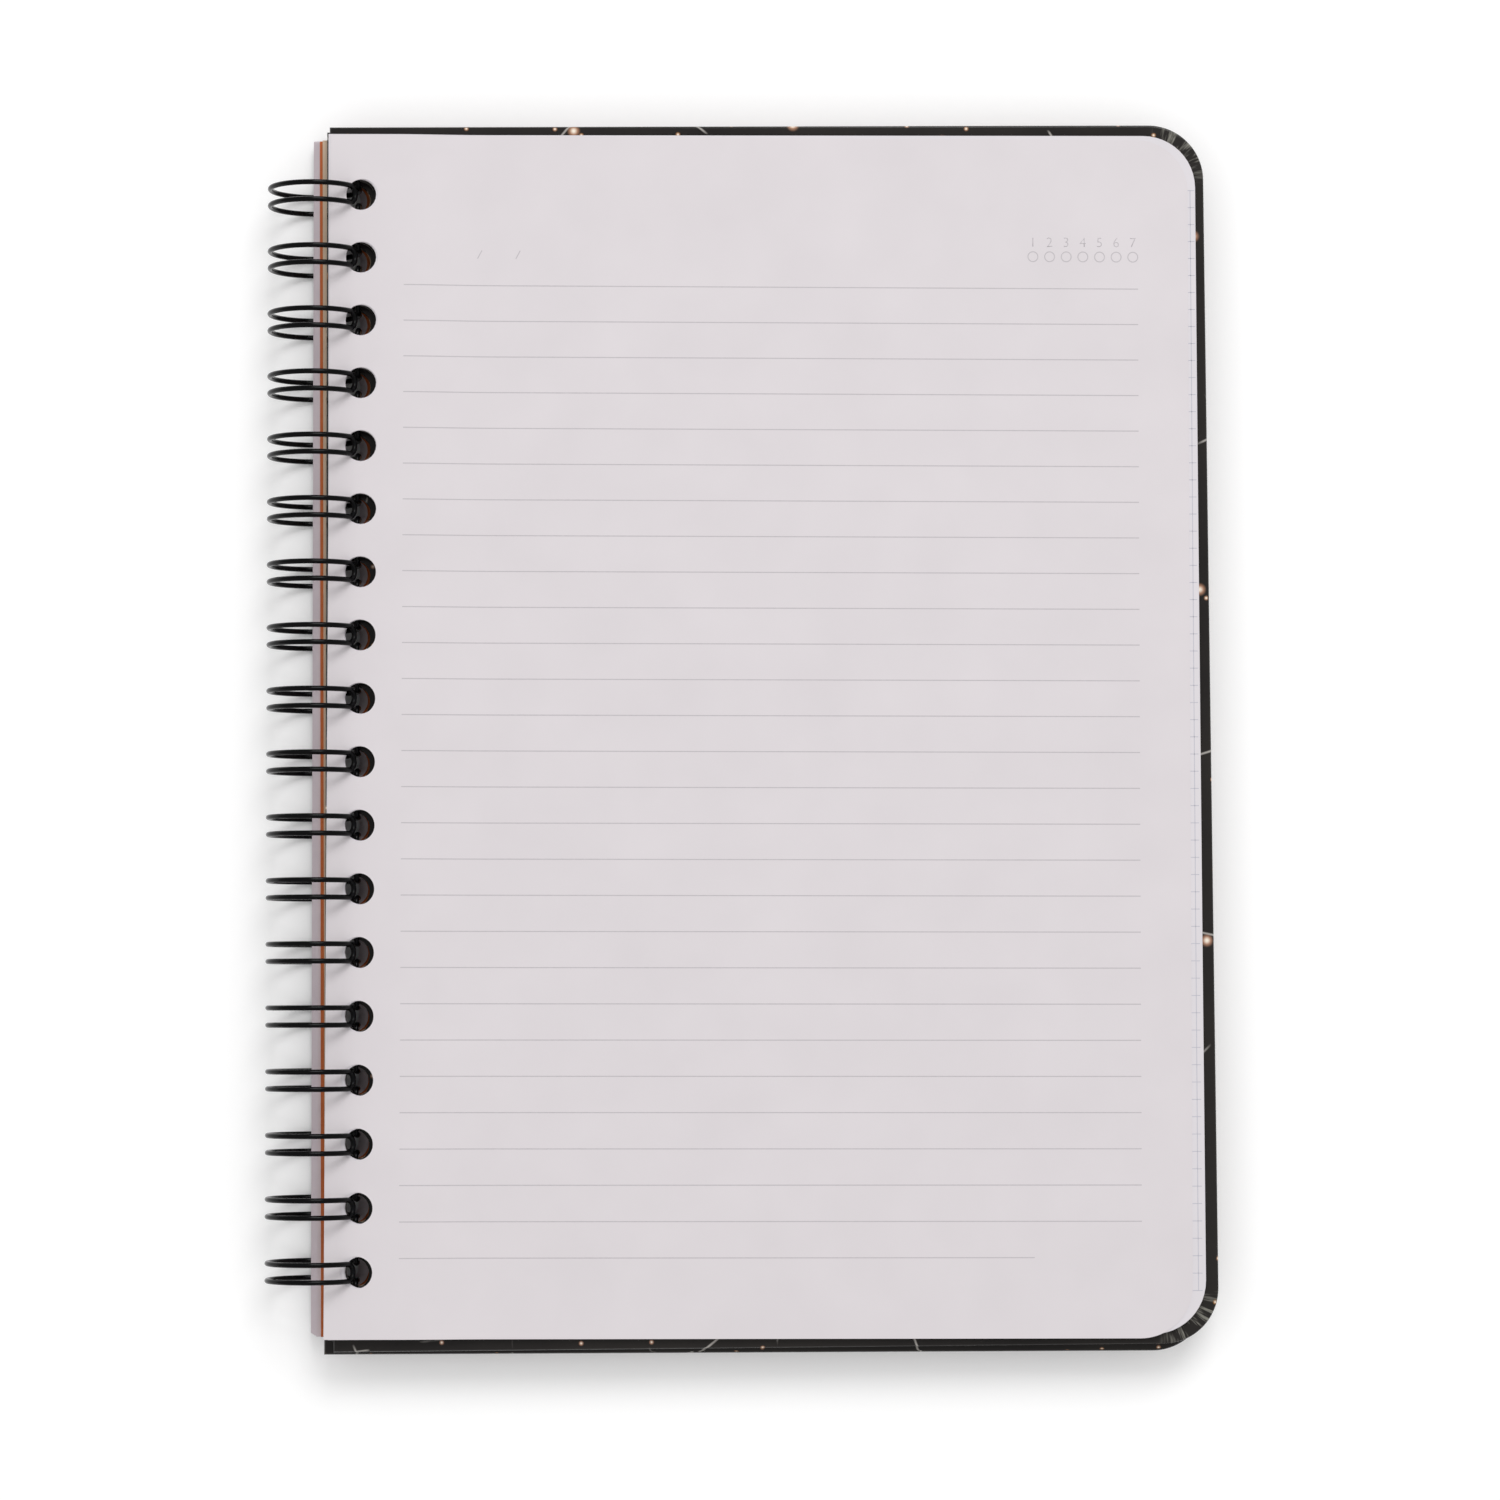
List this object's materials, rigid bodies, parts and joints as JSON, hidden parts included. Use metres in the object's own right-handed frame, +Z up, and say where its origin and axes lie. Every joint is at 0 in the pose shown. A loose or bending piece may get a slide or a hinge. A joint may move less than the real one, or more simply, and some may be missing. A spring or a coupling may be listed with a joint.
{
  "type": "wire-bound notebook",
  "caption": "Twin-loop wire-bound notebook with wrapped board covers and a ruled leaf on top, its front cover and turned leaves folded round to the back.",
  "frame": {"origin": "on the underside of the lowest turned leaf, which lies on the table, 85 mm from the axis of the loops and level with the middle of the row of loops", "axes": "+X from the binding to the fore edge, +Y along the binding to the head of the page, +Z up, out of the ruled leaf"},
  "size_m": [0.1906, 0.2475, 0.019],
  "materials": {
    "coated_wire": "gloss black nylon-coated steel wire",
    "ruled_paper": "uncoated white writing paper with grey rules",
    "writing_paper": "uncoated white writing paper",
    "grey_board": "grey binder's board",
    "printed_wrap": "near-black printed paper with a satin film",
    "lining_paper": "plain pale lining paper",
    "tan_paper": "uncoated tan paper",
    "orange_card": "uncoated burnt-orange card",
    "turned_paper": "uncoated white writing paper"
  },
  "bodies": {
    "spine": {"binding_wire": "coated_wire", "back_cover_board": "grey_board", "back_cover_wrap": "printed_wrap", "back_cover_lining": "lining_paper"},
    "page_section": {"page_block": "writing_paper", "ruled_leaf": "ruled_paper"},
    "front_section": {"front_cover_board": "grey_board", "front_cover_wrap": "printed_wrap", "front_cover_lining": "lining_paper", "intro_leaves": "tan_paper", "divider_card": "orange_card", "turned_leaves": "turned_paper"}
  },
  "joints": [
    {"name": "page_section_turn", "type": "hinge", "parent": "spine", "child": "page_section", "pos_m": [-0.085, 0, 0.00953], "axis": [0, -1, 0], "range_deg": [0, 180]},
    {"name": "front_section_turn", "type": "hinge", "parent": "spine", "child": "front_section", "pos_m": [-0.085, 0, 0.00953], "axis": [0, 1, 0], "range_deg": [0, 180]}
  ]
}
